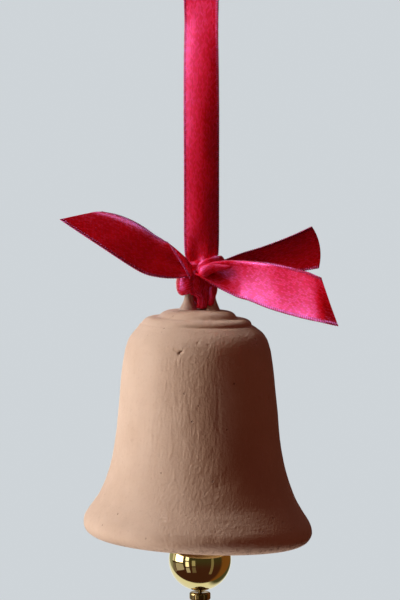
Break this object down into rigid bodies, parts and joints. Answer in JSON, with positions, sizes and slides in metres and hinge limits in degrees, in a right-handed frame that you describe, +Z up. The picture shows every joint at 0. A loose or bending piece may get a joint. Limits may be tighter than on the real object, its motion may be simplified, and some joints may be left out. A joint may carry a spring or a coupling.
{
  "type": "hanging bell ornament",
  "caption": "Unglazed clay bell hung by a clay eye from a doubled and knotted satin ribbon, with a polished metal ball clapper on a linked wire.",
  "frame": {"origin": "inside of the ribbon loop's top bend, where a hook or nail bears on it", "axes": "+Z up along the ribbon, +X to the right along the ribbon's width, the clay eye's hole runs along Y and the front is -Y"},
  "size_m": [0.0722, 0.0606, 0.1784],
  "materials": {
    "terracotta": "unglazed fired clay, matt, brush-marked",
    "satin_ribbon": "satin weave with corded edges",
    "polished_brass": "mirror polished",
    "brass_wire": "drawn wire"
  },
  "bodies": {
    "hanger_top": {"ribbon_bend": "satin_ribbon"},
    "hanger_upper": {"upper_front_ply": "satin_ribbon", "upper_back_ply": "satin_ribbon"},
    "knotted_ribbon": {"lower_front_ply": "satin_ribbon", "lower_back_ply": "satin_ribbon", "crown_bight": "satin_ribbon", "knot_core": "satin_ribbon", "knot_wrap": "satin_ribbon", "tail_left": "satin_ribbon", "tail_right_front": "satin_ribbon", "tail_right_back": "satin_ribbon", "tail_back": "satin_ribbon"},
    "bell": {"bell_shell": "terracotta", "clapper_staple": "brass_wire"},
    "link": {"clapper_link": "brass_wire"},
    "clapper": {"clapper_wire": "brass_wire", "clapper_ball": "polished_brass", "collar_bead": "polished_brass", "end_bead": "polished_brass"}
  },
  "joints": [
    {"name": "ribbon_swing", "type": "hinge", "parent": "hanger_top", "child": "hanger_upper", "pos_m": [0, 0, -0.003], "axis": [1, 0, 0], "range_deg": [-30, 30]},
    {"name": "ribbon_twist", "type": "hinge", "parent": "hanger_upper", "child": "knotted_ribbon", "pos_m": [0, 0, -0.06], "axis": [0, 0, 1], "range_deg": [-90, 90], "stiffness_Nm_per_rad": 0.0002},
    {"name": "bell_rock", "type": "hinge", "parent": "knotted_ribbon", "child": "bell", "pos_m": [0, 0, -0.0908], "axis": [0, 1, 0], "range_deg": [-10, 10]},
    {"name": "link_swing", "type": "hinge", "parent": "bell", "child": "link", "pos_m": [0, 0, -0.1034], "axis": [1, 0, 0], "range_deg": [-13, 13]},
    {"name": "clapper_swing", "type": "hinge", "parent": "link", "child": "clapper", "pos_m": [0, 0, -0.10665], "axis": [0, 1, 0], "range_deg": [-13, 13]}
  ]
}
